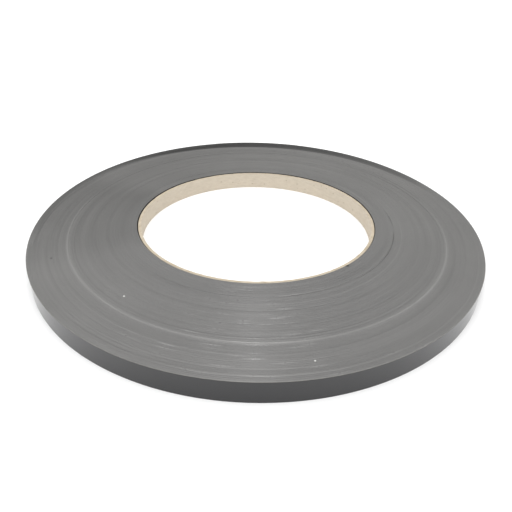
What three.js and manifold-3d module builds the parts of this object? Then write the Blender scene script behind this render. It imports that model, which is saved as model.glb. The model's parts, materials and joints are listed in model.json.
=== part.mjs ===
// A roll of narrow adhesive foil tape wound on a board core, lying flat on one of its sides.
// Millimetres, +Z up. The origin is on the roll's axis, at the level of the surface that the roll lies on.
// Angles run anticlockwise seen from above, from +X, and the tape winds outwards the same way.

import * as THREE from "three";
import { mergeVertices } from "three/addons/utils/BufferGeometryUtils.js";
import Module from "manifold-3d";

const { degToRad } = THREE.MathUtils;

// ---- Core: a slice of spiral-wound board tube, three plies glued one over another
const boreDiameter = 77.4; // of the core before it went out of round
const coreWidth = 6.15; // cut a little narrower than the tape
const plyThickness = 0.29;
const plyGlueLine = 0.015;
const plyNames = ["core_inner_ply", "core_middle_ply", "core_outer_ply"];
const seamGap = 0.4; // slit left open where a ply's two edges meet
const seamSlant = degToRad(24); // between the slit and the core's face
const seamAngles = [degToRad(262), degToRad(38), degToRad(150)]; // where each ply's slit is, at half width
const seamOvershoot = 2; // how far the slit is cut past the core's faces and walls

// ---- Tape: release liner, adhesive and foil, from the inside of each turn to its outside
const tapeWidth = 6.35;
const linerThickness = 0.059;
const adhesiveThickness = 0.02;
const foilThickness = 0.032;
const layerGap = 0.004; // between two layers, and between one turn and the next
const coreClearance = 0.15; // the first turn has sprung this far off the core

// ---- The wound turns, in bands from the core outwards.
// lift: how far a band has slipped along the axis. gapBefore: the gap between it and the band inside it.
const innerTurns = { name: "inner_turns", turns: 47, lift: 0.08, gapBefore: 0 };
const middleTurns = { name: "middle_turns", turns: 133, lift: 0, gapBefore: 0.1 };
const proudTurns = { name: "proud_turns", turns: 5, lift: 0.2, gapBefore: 0.03 };
const outerTurns = { name: "outer_turns", turns: 62, lift: 0.04, gapBefore: 0.03 };
const raisedTurns = { name: "raised_turns", turns: 28, lift: 0.04, gapBefore: 0.1 };

// ---- The raised turns climb towards the outside of the roll, on one side of it only
const climb = 0.6; // at its highest
const climbAngle = degToRad(112); // where it is highest
const climbFall = 1.2; // power of the cosine that it falls away with round the roll
const climbCurve = 1.6; // power of the distance across the band that it rises with
const climbRows = 3; // rows of facets across the band

// ---- The core has gone slightly oval and off centre. The turns round it follow, less and less outwards.
const ovalBy = 0.9; // more radius along X and less along Y
const offCentre = 0.7; // towards +Y

// ---- Free end of the tape, hinged where it lifts off the roll
const endLength = 40;
const flapLength = 20; // the last part of it, where the foil peels off its liner
const rootAngle = degToRad(75);
const endGap = 0.05; // between lengths of tape that meet end to end
const endStandOff = 0.02; // between the free end and the turn under it

const facets = 72; // round the full circle
const facetAngle = (2 * Math.PI) / facets;

// ---- Derived sizes
const boreRadius = boreDiameter / 2;
const plyPitch = plyThickness + plyGlueLine;
const coreRadius = boreRadius + plyNames.length * plyPitch - plyGlueLine;
const adhesiveOffset = linerThickness + layerGap;
const foilOffset = adhesiveOffset + adhesiveThickness + layerGap;
const turnPitch = foilOffset + foilThickness + layerGap;
const roundFrom = coreRadius + (innerTurns.turns + middleTurns.turns) * turnPitch;

const finishes = {
  board: { color: 0xcdc1af, roughness: 0.95, metalness: 0 },
  woundEdge: { color: 0x82827f, roughness: 0.6, metalness: 0.3 },
  foil: { color: 0x4c4c50, roughness: 0.35, metalness: 0.8 },
  adhesive: { color: 0x5b5a58, roughness: 0.4, metalness: 0 },
  liner: { color: 0x6a6a69, roughness: 0.7, metalness: 0 },
};

const wasm = await Module();
wasm.setup();

const roll = new THREE.Group();
roll.name = "foil_tape_roll";

function addPiece(name, geometry, finish) {
  const piece = new THREE.Mesh(geometry, new THREE.MeshStandardMaterial(finishes[finish]));
  piece.name = name;
  roll.add(piece);
}

function toSolid(geometry) {
  const bare = geometry.clone().deleteAttribute("normal").deleteAttribute("uv");
  const merged = mergeVertices(bare, 1e-4);
  const vertProperties = new Float32Array(merged.getAttribute("position").array);
  const triVerts = new Uint32Array(merged.index.array);
  return new wasm.Manifold(new wasm.Mesh({ numProp: 3, vertProperties, triVerts }));
}

function toGeometry(solid) {
  const { vertProperties, triVerts } = solid.getMesh();
  const geometry = new THREE.BufferGeometry();
  geometry.setAttribute("position", new THREE.BufferAttribute(vertProperties, 3));
  geometry.setIndex(new THREE.BufferAttribute(triVerts, 1));
  geometry.computeVertexNormals();
  return geometry;
}

// How far the outermost raised turn has climbed, at an angle round the roll.
function climbAt(angle) {
  return climb * Math.max(0, Math.cos(angle - climbAngle)) ** climbFall;
}

// Slides every vertex along the axis, by a function of its place.
function slideAlongAxis(geometry, slideAt) {
  const place = geometry.getAttribute("position");
  for (let i = 0; i < place.count; i++) {
    const angle = Math.atan2(place.getY(i), place.getX(i));
    const radius = Math.hypot(place.getX(i), place.getY(i));
    place.setZ(i, place.getZ(i) + slideAt(angle, radius));
  }
  geometry.computeVertexNormals();
  return geometry;
}

// Moves every vertex of a round shape in or out, to where the oval core has pushed it.
function pressOval(geometry) {
  const place = geometry.getAttribute("position");
  for (let i = 0; i < place.count; i++) {
    const angle = Math.atan2(place.getY(i), place.getX(i));
    const radius = Math.hypot(place.getX(i), place.getY(i));
    const share = THREE.MathUtils.clamp((roundFrom - radius) / (roundFrom - coreRadius), 0, 1);
    const outwards = share * (ovalBy * Math.cos(2 * angle) + offCentre * Math.sin(angle));
    place.setX(i, place.getX(i) * (1 + outwards / radius));
    place.setY(i, place.getY(i) * (1 + outwards / radius));
  }
  geometry.computeVertexNormals();
  return geometry;
}

// A closed ring about the axis, standing on z = 0; rows is how many rows of facets cross its two faces.
function ringGeometry(inner, outer, width, rows = 1) {
  const profile = [];
  for (let row = 0; row <= rows; row++) {
    profile.push(new THREE.Vector2(inner + ((outer - inner) * row) / rows, 0));
  }
  for (let row = rows; row >= 0; row--) {
    profile.push(new THREE.Vector2(inner + ((outer - inner) * row) / rows, width));
  }
  profile.push(profile[0].clone());
  return new THREE.LatheGeometry(profile, facets).rotateX(Math.PI / 2);
}

// The two ends of a stretch of angles, with every facet line between them.
function facetAngles(from, to) {
  const angles = [from];
  const tolerance = facetAngle / 1000;
  for (let i = Math.ceil((from + tolerance) / facetAngle); i * facetAngle < to - tolerance; i++) {
    angles.push(i * facetAngle);
  }
  return [...angles, to];
}

// One layer of the tape from one angle to another, standing on its edge along the winding spiral.
// offset is from the inside of the turn to the inside of the layer.
function layerGeometry(spiralRadius, offset, thickness, from, to) {
  const at = (angle, distance) => {
    const radius = spiralRadius(angle) + distance;
    return new THREE.Vector2(radius * Math.cos(angle), radius * Math.sin(angle));
  };
  const angles = facetAngles(from, to);
  const outside = angles.map((angle) => at(angle, offset + thickness));
  const inside = angles.map((angle) => at(angle, offset)).reverse();
  const outline = new THREE.Shape([...outside, ...inside]);
  const layer = new THREE.ExtrudeGeometry(outline, { depth: tapeWidth, bevelEnabled: false });
  return slideAlongAxis(layer, (angle) => raisedTurns.lift + climbAt(angle));
}

// ---- Core: each ply is a ring, slit where its two edges meet
function plyGeometry(inner, seamAngle) {
  const ring = toSolid(pressOval(ringGeometry(inner, inner + plyThickness, coreWidth)));
  const slitLength = (coreWidth + 2 * seamOvershoot) / Math.sin(seamSlant);
  const slit = new THREE.BoxGeometry(plyThickness + 2 * seamOvershoot, slitLength, seamGap);
  slit.rotateX(seamSlant).translate(inner + plyThickness / 2, 0, coreWidth / 2).rotateZ(seamAngle);
  return toGeometry(ring.subtract(toSolid(slit)));
}

plyNames.forEach((name, i) => {
  addPiece(name, plyGeometry(boreRadius + i * plyPitch, seamAngles[i]), "board");
});

// ---- Wound turns
let radius = coreRadius + coreClearance;
for (const { name, turns, lift, gapBefore } of [innerTurns, middleTurns, proudTurns, outerTurns]) {
  radius += gapBefore;
  const outer = radius + turns * turnPitch - layerGap;
  const band = pressOval(ringGeometry(radius, outer, tapeWidth)).translate(0, 0, lift);
  addPiece(name, band, "woundEdge");
  radius = outer;
}

const raisedInner = radius + raisedTurns.gapBefore;
const raisedOuter = raisedInner + raisedTurns.turns * turnPitch - layerGap;
const raisedBand = ringGeometry(raisedInner, raisedOuter, tapeWidth, climbRows);
slideAlongAxis(raisedBand, (angle, at) => {
  const across = THREE.MathUtils.clamp((at - raisedInner) / (raisedOuter - raisedInner), 0, 1);
  return raisedTurns.lift + climbAt(angle) * across ** climbCurve;
});
addPiece(raisedTurns.name, raisedBand, "woundEdge");

// ---- Last turn, in its three layers. It starts under the root of the free end and runs once round.
const lastTurnEnd = rootAngle + 2 * Math.PI;
const lastTurnRadius = raisedOuter + layerGap;
const lastTurnSpiral = (angle) => lastTurnRadius + (turnPitch * (angle - rootAngle)) / (2 * Math.PI);

// ---- Free end: the same spiral, a little further out, over the start of the last turn
const freeSpiral = (angle) => lastTurnSpiral(angle) + endStandOff;
const angleFor = (length) => length / (lastTurnRadius + turnPitch);
const freeFrom = lastTurnEnd + angleFor(endGap);
const flapFrom = lastTurnEnd + angleFor(endLength - flapLength);
const freeTo = lastTurnEnd + angleFor(endLength);

const layers = [
  { layer: "liner", offset: 0, thickness: linerThickness },
  { layer: "adhesive", offset: adhesiveOffset, thickness: adhesiveThickness },
  { layer: "foil", offset: foilOffset, thickness: foilThickness },
];

for (const { layer, offset, thickness } of layers) {
  const peels = layer !== "liner";
  const endTo = peels ? flapFrom - angleFor(endGap) : freeTo;
  const turn = layerGeometry(lastTurnSpiral, offset, thickness, rootAngle, lastTurnEnd);
  addPiece(`last_turn_${layer}`, turn, layer);
  addPiece(`end_${layer}`, layerGeometry(freeSpiral, offset, thickness, freeFrom, endTo), layer);
  if (peels) {
    addPiece(`flap_${layer}`, layerGeometry(freeSpiral, offset, thickness, flapFrom, freeTo), layer);
  }
}

export default roll;
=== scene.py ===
import json
import math

import bmesh
import bpy
import numpy as np
from mathutils import Matrix, Vector


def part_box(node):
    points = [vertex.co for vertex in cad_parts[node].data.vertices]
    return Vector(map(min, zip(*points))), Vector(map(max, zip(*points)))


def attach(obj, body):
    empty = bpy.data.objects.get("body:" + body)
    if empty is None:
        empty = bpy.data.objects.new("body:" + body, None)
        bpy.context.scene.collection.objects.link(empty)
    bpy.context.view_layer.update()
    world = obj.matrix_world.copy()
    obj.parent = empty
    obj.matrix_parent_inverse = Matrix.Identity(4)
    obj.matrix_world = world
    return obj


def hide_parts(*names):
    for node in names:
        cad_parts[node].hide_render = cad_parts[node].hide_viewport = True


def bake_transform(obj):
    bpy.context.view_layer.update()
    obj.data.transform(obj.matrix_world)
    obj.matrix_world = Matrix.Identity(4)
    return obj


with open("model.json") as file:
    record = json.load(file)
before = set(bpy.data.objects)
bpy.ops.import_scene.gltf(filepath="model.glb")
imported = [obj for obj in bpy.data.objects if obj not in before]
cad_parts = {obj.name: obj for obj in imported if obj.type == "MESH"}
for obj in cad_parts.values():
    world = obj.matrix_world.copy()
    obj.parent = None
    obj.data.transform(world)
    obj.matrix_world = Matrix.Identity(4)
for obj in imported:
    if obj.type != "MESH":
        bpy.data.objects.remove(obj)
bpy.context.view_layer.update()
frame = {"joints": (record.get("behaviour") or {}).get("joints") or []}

mm = 0.001
fullTurn = 2 * math.pi
rollSeed = 1897


def linear(hexColour):
    # sRGB hex to the linear RGBA that a socket wants
    parts = [int(hexColour[i:i + 2], 16) / 255 for i in (1, 3, 5)]
    return [p / 12.92 if p <= 0.04045 else ((p + 0.055) / 1.055) ** 2.4 for p in parts] + [1]


def addNode(tree, kind, settings=None, **inputs):
    # inputs take a value or another node's output; _ stands for a space in a name, and _6 is input 6
    node = tree.nodes.new("ShaderNode" + kind)
    for key, value in (settings or {}).items():
        setattr(node, key, value)
    for key, value in inputs.items():
        socket = node.inputs[int(key[1:])] if key[1:].isdigit() else node.inputs[key.replace("_", " ")]
        if isinstance(value, bpy.types.NodeSocket):
            tree.links.new(value, socket)
        else:
            socket.default_value = value
    return node


def newMaterial(name):
    material = bpy.data.materials.new(name)
    material.use_nodes = True
    material.node_tree.nodes.clear()
    return material, material.node_tree


def finishMaterial(tree, **inputs):
    shader = addNode(tree, "BsdfPrincipled", **inputs)
    addNode(tree, "OutputMaterial", Surface=shader.outputs["BSDF"])


def smoothstep(value, low, high):
    t = np.clip((value - low) / (high - low), 0, 1)
    return t * t * (3 - 2 * t)


def bell(distance, width):
    return np.exp(-(distance / width) ** 2)


def towards(angle, degrees, power=1.0):
    # 1 at that side of the roll, falling to 0 a quarter turn away
    return np.maximum(0, np.cos(angle - math.radians(degrees))) ** power


# the core has gone slightly oval, and the turns round it follow, less and less outwards
ovalLook = {
    "by": 0.9 * mm,  # more radius along X and less along Y
    "offCentre": 0.7 * mm,  # towards +Y
}


def halfWidth(node):
    low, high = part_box(node)
    return (high.x - low.x) / 2


coreRadius = halfWidth("core_outer_ply") - ovalLook["by"]
roundFrom = halfWidth("middle_turns")


def ovalShare(radius):
    # 1 at the core, falling to 0 where the turns are round again
    return np.clip((roundFrom - radius) / (roundFrom - coreRadius), 0, 1)


def ovalAt(angle, radius):
    return ovalShare(radius) * (ovalLook["by"] * np.cos(2 * angle) + ovalLook["offCentre"] * np.sin(angle))


def outerRadius(node):
    # the radius that the node had while the core was round; each pass comes closer to it
    radius = halfWidth(node)
    for step in range(8):
        radius = halfWidth(node) - ovalLook["by"] * float(ovalShare(radius))
    return radius


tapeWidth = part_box("middle_turns")[1].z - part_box("middle_turns")[0].z
grooveRadius = outerRadius("inner_turns")
ridgeRadius = (outerRadius("middle_turns") + outerRadius("proud_turns")) / 2
crescentRadius = outerRadius("outer_turns")
woundRadius = outerRadius("raised_turns")
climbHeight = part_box("raised_turns")[1].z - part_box("raised_turns")[0].z - tapeWidth
joints = {joint["name"]: joint for joint in frame["joints"]}
print("read the sizes from the frame")


def flatStrip(steps, columns, rows=1):
    # a block 1 long (x), 1 thick (y) and 1 wide (z), cut into steps along it
    bm = bmesh.new()
    bmesh.ops.create_grid(bm, x_segments=steps, y_segments=columns, size=0.5)
    for edge in bm.edges:
        if edge.is_boundary:
            edge.smooth = False
    pushed = bmesh.ops.extrude_face_region(bm, geom=bm.faces[:])["geom"]
    bmesh.ops.translate(bm, verts=[v for v in pushed if isinstance(v, bmesh.types.BMVert)], vec=(0, 0, -1))
    for edge in bm.edges:
        if len(edge.link_faces) == 2 and edge.calc_face_angle() > math.radians(60):
            edge.smooth = False
    if rows > 1:
        standing = [e for e in bm.edges if abs(e.verts[0].co.z - e.verts[1].co.z) > 0.5]
        bmesh.ops.subdivide_edges(bm, edges=standing, cuts=rows - 1, use_grid_fill=True)
    bmesh.ops.recalc_face_normals(bm, faces=bm.faces[:])
    return bm


def windStrip(name, bm, place, attributes=None):
    # place(along, across, up) gives angle, radius and height; across is 0 on the side facing the core
    mesh = bpy.data.meshes.new(name)
    bm.to_mesh(mesh)
    bm.free()
    flat = np.empty(len(mesh.vertices) * 3, np.float32)
    mesh.vertices.foreach_get("co", flat)
    flat = flat.reshape(-1, 3).astype(float)
    along, across, up = flat[:, 0] + 0.5, 0.5 - flat[:, 1], flat[:, 2] + 1
    angle, radius, height = place(along, across, up)
    wound = np.stack([radius * np.cos(angle), radius * np.sin(angle), height], 1)
    mesh.vertices.foreach_set("co", wound.astype(np.float32).ravel())
    for key, values in (attributes(along, across, up) if attributes else {}).items():
        layer = mesh.attributes.new(key, "FLOAT", "POINT")
        layer.data.foreach_set("value", values.astype(np.float32))
    mesh.polygons.foreach_set("use_smooth", [True] * len(mesh.polygons))
    mesh.update()
    # 1 on the faces that stand upright, 0 on the two cut edges
    normals = np.empty(len(mesh.polygons) * 3, np.float32)
    mesh.polygons.foreach_get("normal", normals)
    upright = (np.abs(normals[2::3]) < 0.6).astype(np.float32)
    mesh.attributes.new("upright", "FLOAT", "FACE").data.foreach_set("value", upright)
    piece = bpy.data.objects.new(name, mesh)
    bpy.context.scene.collection.objects.link(piece)
    return piece


def settle(piece, material, node):
    piece.data.materials.append(material)
    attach(piece, "roll")
    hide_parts(node)
    print("made", piece.name, len(piece.data.polygons), "faces")


def settleBent(piece, material, node):
    # a piece of the free end: its placement is baked into its mesh and its CAD part hidden
    piece.data.materials.append(material)
    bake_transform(piece)
    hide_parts(node)
    print("made", piece.name, len(piece.data.polygons), "faces")


colourMix = {"data_type": "RGBA"}
noiseRange = {"From_Min": 0.3, "From_Max": 0.7}  # where nearly all of a noise's values are

edgeLook = {
    "foilColour": "#626264",
    "linerColour": "#84837f",
    "sideColour": "#3c3c3e",  # the side of the strip, where a turn stands above its neighbour
    "darkTone": 0.6,
    "lightTone": 1.4,
    "smudge": 15.3846 * mm,
    "smudgeStrength": 0.03,
    "roughness": 0.34,
    "roughSpread": 0.07,
    "metallic": 0.5,
    "anisotropic": 0.8,
    "anisotropicTurn": 0.25,  # spreads the highlight across the rings
    "specular": 0.2,
    # dust and nicks: place and size in millimetres
    "specks": [
        {"at": (-34.9, -45.2), "size": 0.22, "colour": "#f2f2ee"},
        {"at": (-60.9, -27.9), "size": 0.28, "colour": "#303030"},
        {"at": (27.3, -28.6), "size": 0.45, "colour": "#2a2927"},
        {"at": (14.0, -67.2), "size": 0.2, "colour": "#dcdcd8"},
    ],
    "speckBlur": 0.3,  # of a speck's size
}


def slitEdges():
    # The slit edges of copper foil and glassine paper side by side: satin grey, half metal and half
    # paper to the eye, with fine rings that spread a highlight into a fan. A turn is 0.12 mm, too
    # fine to show, so the tone varies over a few turns at once.
    material, tree = newMaterial("slitFoilAndPaperEdges")
    layer = addNode(tree, "Attribute", {"attribute_name": "layer"})
    tone = addNode(tree, "Attribute", {"attribute_name": "tone"})
    polish = addNode(tree, "Attribute", {"attribute_name": "polish"})
    upright = addNode(tree, "Attribute", {"attribute_name": "upright"})
    place = addNode(tree, "TexCoord")
    both = addNode(tree, "Mix", colourMix, _0=layer.outputs["Fac"],
                   _6=linear(edgeLook["linerColour"]), _7=linear(edgeLook["foilColour"]))
    # the tone holds the turns' own tone and also painted shade, painted highlights and painted glints, fixed
    # to the roll
    spread = addNode(tree, "MapRange", {"clamp": False}, Value=tone.outputs["Fac"],
                     To_Min=edgeLook["darkTone"], To_Max=edgeLook["lightTone"])
    # smudges from handling
    smudge = addNode(tree, "TexNoise", Vector=place.outputs["Object"], Scale=1 / edgeLook["smudge"],
                     Detail=3.0)
    soft = addNode(tree, "MapRange", Value=smudge.outputs["Fac"], **noiseRange,
                   To_Min=1 - edgeLook["smudgeStrength"], To_Max=1 + edgeLook["smudgeStrength"])
    amount = addNode(tree, "Math", {"operation": "MULTIPLY"}, _0=spread.outputs["Result"],
                     _1=soft.outputs["Result"])
    shaded = addNode(tree, "VectorMath", {"operation": "SCALE"}, _0=both.outputs[2],
                     Scale=amount.outputs["Value"])
    face = shaded.outputs["Vector"]
    for speck in edgeLook["specks"]:
        middle = (speck["at"][0] * mm, speck["at"][1] * mm, tapeWidth)
        away = addNode(tree, "VectorMath", {"operation": "DISTANCE"}, _0=place.outputs["Object"], _1=middle)
        near = addNode(tree, "MapRange", Value=away.outputs["Value"],
                       From_Min=speck["size"] * mm * (1 - edgeLook["speckBlur"]),
                       From_Max=speck["size"] * mm * (1 + edgeLook["speckBlur"]), To_Min=1.0, To_Max=0.0)
        face = addNode(tree, "Mix", colourMix, _0=near.outputs["Result"], _6=face,
                       _7=linear(speck["colour"])).outputs[2]
    sided = addNode(tree, "Mix", colourMix, _0=upright.outputs["Fac"],
                    _6=face, _7=linear(edgeLook["sideColour"]))
    rough = addNode(tree, "MapRange", Value=polish.outputs["Fac"], From_Min=-1.0, From_Max=1.0,
                    To_Min=edgeLook["roughness"] + edgeLook["roughSpread"],
                    To_Max=edgeLook["roughness"] - edgeLook["roughSpread"])
    finishMaterial(tree, Base_Color=sided.outputs[2], Metallic=edgeLook["metallic"],
                   Roughness=rough.outputs["Result"], Anisotropic=edgeLook["anisotropic"],
                   Anisotropic_Rotation=edgeLook["anisotropicTurn"], Specular_IOR_Level=edgeLook["specular"])
    return material


foilLook = {
    "darkColour": "#1b1b1d",
    "lightColour": "#212123",
    "patch": 8.33333 * mm,
    "lineSpacing": 0.6 * mm,  # real rolling lines are about 0.15 mm apart, too fine to show
    "lineLength": 125 * mm,
    "roughness": 0.08,
    "roughSpread": 0.03,
    "specular": 0.6,
}


def coatedFoil():
    # Rolled copper foil with a black coat: a dark, glossy skin that mirrors at a low angle, with
    # rolling lines along the strip that break the gloss a little.
    material, tree = newMaterial("blackCoatedFoil")
    place = addNode(tree, "TexCoord")
    lines = addNode(tree, "Mapping", Vector=place.outputs["Object"],
                    Scale=(1 / foilLook["lineLength"], 1 / foilLook["lineLength"],
                           1 / foilLook["lineSpacing"]))
    grain = addNode(tree, "TexNoise", Vector=lines.outputs["Vector"], Scale=1.0, Detail=2.0)
    rough = addNode(tree, "MapRange", Value=grain.outputs["Fac"], **noiseRange,
                    To_Min=foilLook["roughness"] - foilLook["roughSpread"],
                    To_Max=foilLook["roughness"] + foilLook["roughSpread"])
    patch = addNode(tree, "TexNoise", Vector=place.outputs["Object"], Scale=1 / foilLook["patch"], Detail=2.0)
    colour = addNode(tree, "Mix", colourMix, _0=patch.outputs["Fac"],
                     _6=linear(foilLook["darkColour"]), _7=linear(foilLook["lightColour"]))
    finishMaterial(tree, Base_Color=colour.outputs[2], Roughness=rough.outputs["Result"],
                   Specular_IOR_Level=foilLook["specular"])
    return material


adhesiveLook = {
    "darkColour": "#5a5854",
    "lightColour": "#686661",
    "ripple": 1.11111 * mm,
    "rippleDepth": 0.02 * mm,
    "roughness": 0.25,
}


def acrylicAdhesive():
    # Cured acrylic adhesive: a thin tacky film, glossy, slightly smoky and faintly rippled.
    material, tree = newMaterial("acrylicAdhesive")
    place = addNode(tree, "TexCoord")
    ripple = addNode(tree, "TexNoise", Vector=place.outputs["Object"], Scale=1 / adhesiveLook["ripple"],
                     Detail=2.0)
    bump = addNode(tree, "Bump", Strength=0.3, Distance=adhesiveLook["rippleDepth"],
                   Height=ripple.outputs["Fac"])
    colour = addNode(tree, "Mix", colourMix, _0=ripple.outputs["Fac"],
                     _6=linear(adhesiveLook["darkColour"]), _7=linear(adhesiveLook["lightColour"]))
    finishMaterial(tree, Base_Color=colour.outputs[2], Roughness=adhesiveLook["roughness"],
                   Normal=bump.outputs["Normal"])
    return material


linerLook = {
    "darkColour": "#8c8a84",
    "lightColour": "#a09e98",
    "cloud": 1.42857 * mm,
    "roughness": 0.5,
}


def glassineLiner():
    # Siliconised glassine release paper: dense, faintly cloudy, with a soft sheen.
    material, tree = newMaterial("glassineReleasePaper")
    place = addNode(tree, "TexCoord")
    cloud = addNode(tree, "TexNoise", Vector=place.outputs["Object"], Scale=1 / linerLook["cloud"],
                    Detail=5.0)
    colour = addNode(tree, "Mix", colourMix, _0=cloud.outputs["Fac"],
                     _6=linear(linerLook["darkColour"]), _7=linear(linerLook["lightColour"]))
    finishMaterial(tree, Base_Color=colour.outputs[2], Roughness=linerLook["roughness"])
    return material


boardLook = {
    "darkWall": "#c0b5a4",
    "lightWall": "#cbc1b1",
    "darkCut": "#aa9d88",
    "lightCut": "#beb3a0",
    "fleckColour": "#8f8069",
    "fleckSpacing": 2.38095 * mm,
    "fleckStrength": 0.5,
    "fibreLength": 2.0 * mm,
    "fibreSpacing": 0.6 * mm,  # real fibres are about 0.15 mm apart, too fine to show
    "fibreDepth": 0.05 * mm,
    "patch": 5.55556 * mm,
    "patchStrength": 0.03,
    "roughness": 0.92,
}


def coreBoard():
    # Spiral-wound recycled chipboard: matt and fibrous, with a few darker flecks. Its cut faces
    # show the rougher, browner inside.
    material, tree = newMaterial("greyBoard")
    upright = addNode(tree, "Attribute", {"attribute_name": "upright"})
    place = addNode(tree, "TexCoord")
    stretch = addNode(tree, "Mapping", Vector=place.outputs["Object"],
                      Scale=(1 / boardLook["fibreLength"], 1 / boardLook["fibreLength"],
                             1 / boardLook["fibreSpacing"]))
    fibres = addNode(tree, "TexNoise", Vector=stretch.outputs["Vector"], Scale=1.0, Detail=4.0,
                     Roughness=0.65)
    ramp = addNode(tree, "MapRange", Value=fibres.outputs["Fac"], **noiseRange)
    wall = addNode(tree, "Mix", colourMix, _0=ramp.outputs["Result"],
                   _6=linear(boardLook["darkWall"]), _7=linear(boardLook["lightWall"]))
    cut = addNode(tree, "Mix", colourMix, _0=ramp.outputs["Result"],
                  _6=linear(boardLook["darkCut"]), _7=linear(boardLook["lightCut"]))
    colour = addNode(tree, "Mix", colourMix, _0=upright.outputs["Fac"],
                     _6=cut.outputs[2], _7=wall.outputs[2])
    fleck = addNode(tree, "TexVoronoi", Vector=place.outputs["Object"], Scale=1 / boardLook["fleckSpacing"])
    fleckHere = addNode(tree, "MapRange", Value=fleck.outputs["Distance"], From_Min=0.06, From_Max=0.16,
                        To_Min=boardLook["fleckStrength"], To_Max=0.0)
    flecked = addNode(tree, "Mix", colourMix, _0=fleckHere.outputs["Result"],
                      _6=colour.outputs[2], _7=linear(boardLook["fleckColour"]))
    cloud = addNode(tree, "TexNoise", Vector=place.outputs["Object"], Scale=1 / boardLook["patch"],
                    Detail=4.0)
    patch = addNode(tree, "MapRange", Value=cloud.outputs["Fac"], **noiseRange,
                    To_Min=1 - boardLook["patchStrength"], To_Max=1 + boardLook["patchStrength"])
    shaded = addNode(tree, "VectorMath", {"operation": "SCALE"}, _0=flecked.outputs[2],
                     Scale=patch.outputs["Result"])
    bump = addNode(tree, "Bump", Strength=0.5, Distance=boardLook["fibreDepth"], Height=fibres.outputs["Fac"])
    finishMaterial(tree, Base_Color=shaded.outputs["Vector"], Roughness=boardLook["roughness"],
                   Normal=bump.outputs["Normal"])
    return material


edgeMaterial = slitEdges()
foilMaterial = coatedFoil()
adhesiveMaterial = acrylicAdhesive()
linerMaterial = glassineLiner()
boardMaterial = coreBoard()
print("mixed the materials")

coreLook = {
    "plies": {
        "innerPly": {"node": "core_inner_ply", "seamAt": 262, "seed": 0},
        "middlePly": {"node": "core_middle_ply", "seamAt": 38, "seed": 1},
        "outerPly": {"node": "core_outer_ply", "seamAt": 150, "seed": 2},
    },
    "steps": 300,
    "columns": 3,
    "rows": 14,
    "glueLine": 0.015 * mm,
    "seamGap": 0.15 * mm,
    "seamSlant": 14 * mm,  # how far round the seam runs across the core's width
    "slantFades": 0.12,  # of the way round, on both sides of the seam
    "fray": 0.035 * mm,
    "ripple": 0.03 * mm,
    "curl": 0.1 * mm,
    "curlWidth": 1.5 * mm,
}
plyWall = outerRadius("core_middle_ply") - outerRadius("core_inner_ply") - coreLook["glueLine"]


def makePly(name, ply):
    rng = np.random.default_rng(rollSeed + ply["seed"])
    low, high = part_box(ply["node"])
    inner = outerRadius(ply["node"]) - plyWall
    gapAngle = coreLook["seamGap"] / inner
    phases = rng.uniform(0, fullTurn, 6)
    frayNoise = rng.normal(0, 1, 2 * coreLook["steps"])

    def place(along, across, up):
        lean = (up - 0.5) * coreLook["seamSlant"] / inner
        nearSeam = 1 - smoothstep(np.minimum(along, 1 - along), 0.0, coreLook["slantFades"])
        angle = math.radians(ply["seamAt"]) + gapAngle / 2 + along * (fullTurn - gapAngle) + lean * nearSeam
        wave = sum(np.cos((k + 2) * angle + phases[k]) * np.cos(2.1 * k * up + phases[k])
                   for k in range(4)) / 4
        radius = inner + across * plyWall - coreLook["ripple"] * (0.5 + 0.5 * wave)
        # one edge of the ply stands off the board under it, all along the seam
        radius = radius - coreLook["curl"] * bell(along * fullTurn * inner, coreLook["curlWidth"])
        rag = np.interp(along * len(frayNoise), np.arange(len(frayNoise)), frayNoise)
        # only the two cut faces are ragged
        cut = np.where((up > 0.999) | (up < 0.001), coreLook["fray"] * np.abs(rag), 0)
        height = low.z + up * (high.z - low.z) + np.where(up > 0.5, -cut, cut)
        return angle, radius + ovalAt(angle, radius), height

    strip = flatStrip(coreLook["steps"], coreLook["columns"], coreLook["rows"])
    settle(windStrip(name, strip, place), boardMaterial, ply["node"])


for name, ply in coreLook["plies"].items():
    makePly(name, ply)
print("wound the core")


# the light ridge: a few turns that stand proud, in front and more faintly on both sides; its light tone is a
# painted highlight
ridgeLook = {
    "lift": 0.06 * mm,
    # painted highlight: how much lighter the ridge is
    "tone": 0.55,
    "strongestAt": -98,  # degrees round the roll
    "lineWidth": 0.3 * mm,
    "lineShare": 0.75,  # the rest is a haze on both sides of the line
    "hazeWidth": 0.9 * mm,
    "inset": 0.1 * mm,
    "wander": 0.35 * mm,
}


def ridgeAt(angle, radius):
    # how much of the ridge is here: it wanders a little, and fades out at the back
    middle = ridgeRadius - ridgeLook["inset"] + ridgeLook["wander"] * (np.cos(2 * angle) + np.cos(angle))
    strength = smoothstep(np.cos(angle - math.radians(ridgeLook["strongestAt"])), -0.5, 0.5)
    patchy = 0.8 + 0.2 * np.sin(11 * angle + 40 * radius / mm) * np.sin(5 * angle)
    line = ridgeLook["lineShare"] * bell(radius - middle, ridgeLook["lineWidth"])
    haze = (1 - ridgeLook["lineShare"]) * bell(radius - middle, ridgeLook["hazeWidth"])
    return strength * patchy * (line + haze)


# the dark winding line, where the tension changed: a dip, darkened with painted shade
grooveLook = {
    "drop": 0.16 * mm,
    # painted shade: how much darker the line is
    "tone": -0.25,
    "strongestAt": -40,
    "width": 0.13 * mm,
    "wander": 0.5 * mm,
}


def grooveAt(angle, radius):
    # how much of the winding line is here: it comes and goes, on the right and in front
    middle = grooveRadius + grooveLook["wander"] * np.cos(angle)
    strength = smoothstep(np.cos(angle - math.radians(grooveLook["strongestAt"])), 0.55, 0.8)
    broken = smoothstep(np.sin(9 * angle) + np.sin(23 * angle + 1) + 0.7, -0.4, 0.6)
    return strength * broken * bell(radius - middle, grooveLook["width"])


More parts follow.
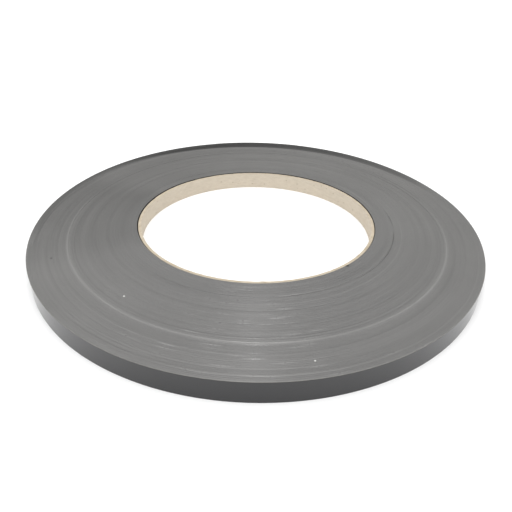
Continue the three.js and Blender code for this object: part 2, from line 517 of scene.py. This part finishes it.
# the outer turns have slipped up in a crescent, which narrows away from the back
crescentLook = {
    "widestAt": 108,
    "narrowest": 0.12,  # of its full width
    "highestAt": 112,
    "fall": 1.2,
    "curve": 1.3,
    # the crescent's tones are painted shade
    "tone": -0.1,
    "backShade": -0.68,
    "leftShade": -0.28,
    "innerEdgeShade": -0.4,
    "shadeFrom": 1.5 * mm,  # how far inside the crescent its painted shade begins, at the back right
}


def crescentAt(angle, radius):
    # 0 inside the raised turns, rising to 1 at the last one
    narrowest = crescentLook["narrowest"]
    share = narrowest + (1 - narrowest) * towards(angle, crescentLook["widestAt"], 0.25)
    width = (woundRadius - crescentRadius) * share
    return np.clip((radius - woundRadius + width) / width, 0, 1)


def crescentShade(angle, radius):
    # painted shade on the raised turns: darkest at the back, and darkening more gradually across it at the
    # back left
    tone = (crescentLook["tone"] + crescentLook["backShade"] * towards(angle, 92)
            + crescentLook["leftShade"] * towards(angle, 185, 4))
    within = crescentAt(angle, radius + crescentLook["shadeFrom"] * towards(angle, 60))
    here = (smoothstep(within, 0, 0.1 + 0.9 * towards(angle, 150, 6))
            * smoothstep(towards(angle, crescentLook["widestAt"], 0.4), 0.2, 0.6))
    # a thin line of painted shadow along its inner edge, on the left
    innerEdgeShadow = bell(crescentAt(angle, radius) - 0.08, 0.1) * smoothstep(towards(angle, 180), 0.85, 0.97)
    return tone * here + crescentLook["innerEdgeShade"] * innerEdgeShadow


# how the light and dark of the wound face vary
shadeLook = {
    "middleTone": 0.5,
    "paintedShadeRight": 0.065,
    "paintedShadeBack": 0.135,
    "paintedShadeBackLeft": 0.24,
    "turnByTurn": 0.04,
    "paintedStreaksInFront": 0.05,  # on top of that: painted streaks of the highlight, strongest in front
    "broad": 0.04,
    "dashes": 0.6,  # how bright the brightest short painted glints are
    "dashesFrom": 1.2,  # higher for fewer of them
}


def liftOf(angle, radius):
    climbed = climbHeight * towards(angle, crescentLook["highestAt"], crescentLook["fall"])
    return (climbed * crescentAt(angle, radius) ** crescentLook["curve"]
            + ridgeLook["lift"] * ridgeAt(angle, radius)
            - grooveLook["drop"] * grooveAt(angle, radius))


def toneOf(angle, radius):
    # painted shade: the cut is a little darker on the right and at the back, and most at the back left
    shadeHere = (shadeLook["paintedShadeRight"] * np.cos(angle) + shadeLook["paintedShadeBack"] * np.sin(angle)
            + shadeLook["paintedShadeBackLeft"] * towards(angle, 135, 2))
    return (ridgeLook["tone"] * ridgeAt(angle, radius) - shadeHere
            + grooveLook["tone"] * grooveAt(angle, radius) + crescentShade(angle, radius))


windLook = {
    "bands": {
        "innerTurns": {"node": "inner_turns", "jitter": 0.6},
        "middleTurns": {"node": "middle_turns", "jitter": 0.6},
        "proudTurns": {"node": "proud_turns", "jitter": 0.8},
        "outerTurns": {"node": "outer_turns", "jitter": 0.7},
        "raisedTurns": {"node": "raised_turns", "jitter": 1.0},
    },
    "stepsPerTurn": 120,
    "startsAt": 75,  # degrees; where every band begins and ends
    "turnPitch": 0.123 * mm,
    "slack": 0.004 * mm,
    "crownIn": 0.012 * mm,
    "crownOut": 0.006 * mm,
    "fineJitter": 0.012 * mm,
    "broadJitter": 0.012 * mm,
    "knotsPerTurn": 3,
    "broadTurns": 8,
    "level": 0.04 * mm,
    "clearance": 0.12 * mm,  # between the core and the first turn
    "bulge": 0.2 * mm,  # the first turns have sprung off the core on one side
    "bulgeAt": 203,
}

rng = np.random.default_rng(rollSeed)
fineKnots = rng.normal(0, 1, 1200)
toneKnots = rng.normal(0, 1, 1200)
broadKnots = rng.normal(0, 1, (40, 12))


def fineNoise(knots, turn):
    # changes from turn to turn, and slowly along each turn
    return np.interp(turn * windLook["knotsPerTurn"], np.arange(len(knots)), knots)


def broadNoise(turn, angle):
    # bands of several turns that come and go round the roll
    rows, columns = broadKnots.shape
    row = np.clip(turn / windLook["broadTurns"], 0, rows - 1.01)
    column = (angle % fullTurn) / fullTurn * columns
    r0, c0 = row.astype(int), column.astype(int) % columns
    fr, fc = row - r0, column - np.floor(column)
    c1 = (c0 + 1) % columns
    fr, fc = fr * fr * (3 - 2 * fr), fc * fc * (3 - 2 * fc)
    low = broadKnots[r0, c0] * (1 - fc) + broadKnots[r0, c1] * fc
    high = broadKnots[r0 + 1, c0] * (1 - fc) + broadKnots[r0 + 1, c1] * fc
    return low * (1 - fr) + high * fr


def bulgeOf(angle, radius):
    share = np.clip((grooveRadius - radius) / (grooveRadius - coreRadius), 0, 1)
    return windLook["bulge"] * share * towards(angle, windLook["bulgeAt"], 0.8)


def windBand(name, startRadius, turnsBefore):
    band = windLook["bands"][name]
    outer = outerRadius(band["node"])
    level = min(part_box(band["node"])[0].z, windLook["level"])
    turns = max(1, round((outer - startRadius) / windLook["turnPitch"]))
    pitch = (outer - startRadius) / turns
    thickness = pitch - windLook["slack"]
    start = math.radians(windLook["startsAt"])
    perTurn = windLook["stepsPerTurn"]
    glints = rng.normal(0, 1, (turns // 2 + 2, perTurn))

    def place(along, across, up):
        turn = along * turns
        angle = start + turn * fullTurn
        radius = startRadius + turn * pitch + across * thickness
        jitter = windLook["fineJitter"] * fineNoise(fineKnots, turnsBefore + turn)
        jitter = jitter + windLook["broadJitter"] * broadNoise(turnsBefore + turn, angle)
        # the slit edge is crowned
        crown = np.where(across < 0.25, windLook["crownIn"], np.where(across > 0.75, windLook["crownOut"], 0))
        height = level + up * tapeWidth + np.where(up > 0.5, -crown, crown)
        height = height + jitter * band["jitter"] + liftOf(angle, radius)
        return angle, radius + bulgeOf(angle, radius) + ovalAt(angle, radius), np.maximum(height, 0)

    def attributes(along, across, up):
        turn = turnsBefore + along * turns
        angle = start + turn * fullTurn
        radius = startRadius + (turn - turnsBefore) * pitch
        step = np.round(along * turns * perTurn).astype(int)
        # a painted glint is a step long and a turn or two wide, and strongest in front; it also sets the
        # polish
        glint = glints[(turn - turnsBefore).astype(int) // 2, step % perTurn]
        glint = glint * (0.2 + 0.8 * towards(angle, -90, 6))
        fine = shadeLook["turnByTurn"] + shadeLook["paintedStreaksInFront"] * towards(angle, -85, 2)
        tone = (shadeLook["middleTone"] + fine * fineNoise(toneKnots, turn)
                + shadeLook["broad"] * broadNoise(turn, angle))
        # the tone carries painted shade and painted highlights round the roll, and the painted glints
        tone = (tone + toneOf(angle, radius)
                + shadeLook["dashes"] * np.maximum(glint - shadeLook["dashesFrom"], 0))
        # layer is 0 on the liner's edge and 1 on the foil's
        return {"tone": tone, "polish": np.clip(0.6 * glint, -1, 1), "layer": smoothstep(across, 0.3, 0.7)}

    piece = windStrip(name, flatStrip(turns * perTurn, 2), place, attributes)
    settle(piece, edgeMaterial, band["node"])
    return startRadius + turns * pitch, turnsBefore + turns


reached, turnsSoFar = coreRadius + windLook["clearance"], 0
for name in windLook["bands"]:
    reached, turnsSoFar = windBand(name, reached, turnsSoFar)
print("wound", turnsSoFar, "turns")


# the last turn and the free end, layer by layer
tailLook = {
    "layers": {
        "liner": {"from": 0.0, "thickness": 0.059 * mm, "slot": "release_liner", "material": linerMaterial},
        "adhesive": {"from": 0.063 * mm, "thickness": 0.02 * mm, "slot": "adhesive",
                     "material": adhesiveMaterial},
        "foil": {"from": 0.087 * mm, "thickness": 0.032 * mm, "slot": "foil_face", "material": foilMaterial},
    },
    "endLength": 40 * mm,
    "rows": 6,
    "turnSteps": 300,
    "endSteps": 60,
    "flapSteps": 30,
    "liftBend": 7 * mm,  # how much of the tape bends where the end lifts
    "peelBend": 5 * mm,
}
rootPoint = Vector(joints["end_lift"]["pos_m"])
peelPoint = Vector(joints["foil_peel"]["pos_m"])
rootAngle = math.atan2(rootPoint.y, rootPoint.x)
peelAngle = math.atan2(peelPoint.y, peelPoint.x)
tipAngle = rootAngle + tailLook["endLength"] / rootPoint.length
tapeThickness = tailLook["layers"]["foil"]["from"] + tailLook["layers"]["foil"]["thickness"]
turnGrowth = windLook["turnPitch"] / fullTurn
lastStart = reached + windLook["slack"]


def lastRadius(angle):
    return lastStart + turnGrowth * (angle - rootAngle)


def freeRadius(angle):
    return rootPoint.length - tapeThickness + turnGrowth * (angle - rootAngle)


def layStrip(name, look, fromAngle, toAngle, radiusAt, steps):
    def place(along, across, up):
        angle = fromAngle + along * (toAngle - fromAngle)
        radius = radiusAt(angle) + look["from"] + across * look["thickness"]
        return angle, radius, windLook["level"] + up * tapeWidth + liftOf(angle, woundRadius)

    return windStrip(name, flatStrip(steps, 1, tailLook["rows"]), place)


for layer, look in tailLook["layers"].items():
    turn = layStrip("lastTurn" + layer.title(), look, rootAngle, rootAngle + fullTurn, lastRadius,
                    tailLook["turnSteps"])
    settle(turn, look["material"], "last_turn_" + layer)

for layer, look in tailLook["layers"].items():
    endTo = tipAngle if layer == "liner" else peelAngle
    end = layStrip("end" + layer.title(), look, rootAngle, endTo, freeRadius, tailLook["endSteps"])
    settleBent(end, look["material"], "end_" + layer)
    if layer != "liner":
        flap = layStrip("flap" + layer.title(), look, peelAngle, tipAngle, freeRadius, tailLook["flapSteps"])
        settleBent(flap, look["material"], "flap_" + layer)
print("laid the last turn and the free end")


cameraLook = {
    "elevation": 29.62,
    "distance": 169.7 * mm,
    "lens": 33.946875,
    "roll": 1.21,
    "shiftX": -0.0007,
    "shiftY": -0.0595,
    "nearClip": 10 * mm,
}


def placeCamera():
    camera = bpy.data.objects.new("camera", bpy.data.cameras.new("camera"))
    bpy.context.scene.collection.objects.link(camera)
    tilt = math.radians(cameraLook["elevation"])
    back = Vector((0, -math.cos(tilt), math.sin(tilt)))
    middle = Vector((0, 0, tapeWidth / 2))
    aim = Matrix.Rotation(math.radians(90) - tilt, 4, "X")
    turn = aim @ Matrix.Rotation(math.radians(cameraLook["roll"]), 4, "Z")
    camera.matrix_world = Matrix.Translation(middle + back * cameraLook["distance"]) @ turn
    camera.data.lens = cameraLook["lens"]
    camera.data.shift_x = cameraLook["shiftX"]
    camera.data.shift_y = cameraLook["shiftY"]
    camera.data.clip_start = cameraLook["nearClip"]
    bpy.context.scene.camera = camera
    print("placed the camera")


floorLook = {"radius": 6.0, "colour": "#fafafa", "roughness": 0.9}


def makeFloor():
    # White paper sweep: matt, with no mark on it.
    bm = bmesh.new()
    bmesh.ops.create_circle(bm, cap_ends=True, segments=96, radius=floorLook["radius"])
    mesh = bpy.data.meshes.new("floor")
    bm.to_mesh(mesh)
    bm.free()
    floor = bpy.data.objects.new("floor", mesh)
    bpy.context.scene.collection.objects.link(floor)
    material, tree = newMaterial("whitePaperSweep")
    finishMaterial(tree, Base_Color=linear(floorLook["colour"]), Roughness=floorLook["roughness"])
    mesh.materials.append(material)
    print("laid the floor")


lightLook = {
    "lowSky": 0.45,
    "highSky": 1.35,
    "lowSkyTo": 0.2,  # sine of the height above the horizon
    "highSkyFrom": 0.7,
    "backdrop": 1.0,  # what shows behind the floor in a low view
    # sizes in metres, power in watts
    "softboxes": [
        {"name": "overheadSoftbox", "at": (-0.03, -0.25, 0.8), "size": 0.5, "power": 2.4},
        {"name": "stripLight", "at": (0.0, 0.38, 0.62), "size": 0.05, "power": 0.14},
    ],
}


def makeLights():
    world = bpy.data.worlds.new("studio")
    bpy.context.scene.world = world
    world.use_nodes = True
    tree = world.node_tree
    # a white tent, brighter overhead than round the sides
    place = addNode(tree, "TexCoord")
    split = addNode(tree, "SeparateXYZ", Vector=place.outputs["Generated"])
    sky = addNode(tree, "MapRange", {"interpolation_type": "SMOOTHSTEP"}, Value=split.outputs["Z"],
                  From_Min=lightLook["lowSkyTo"], From_Max=lightLook["highSkyFrom"],
                  To_Min=lightLook["lowSky"], To_Max=lightLook["highSky"])
    background = tree.nodes["Background"]
    background.inputs["Color"].default_value = (1, 1, 1, 1)
    ray = addNode(tree, "LightPath")
    shown = addNode(tree, "Mix", {"data_type": "FLOAT"}, _0=ray.outputs["Is Camera Ray"],
                    _2=sky.outputs["Result"], _3=lightLook["backdrop"])
    tree.links.new(shown.outputs[0], background.inputs["Strength"])
    for box in lightLook["softboxes"]:
        data = bpy.data.lights.new(box["name"], "AREA")
        data.shape = "SQUARE"
        data.size = box["size"]
        data.energy = box["power"]
        lamp = bpy.data.objects.new(box["name"], data)
        bpy.context.scene.collection.objects.link(lamp)
        lamp.location = box["at"]
        lamp.rotation_euler = (-Vector(box["at"])).to_track_quat("-Z", "Y").to_euler()
    print("lit the scene")


placeCamera()
makeFloor()
makeLights()
bpy.context.scene.view_settings.view_transform = "Standard"
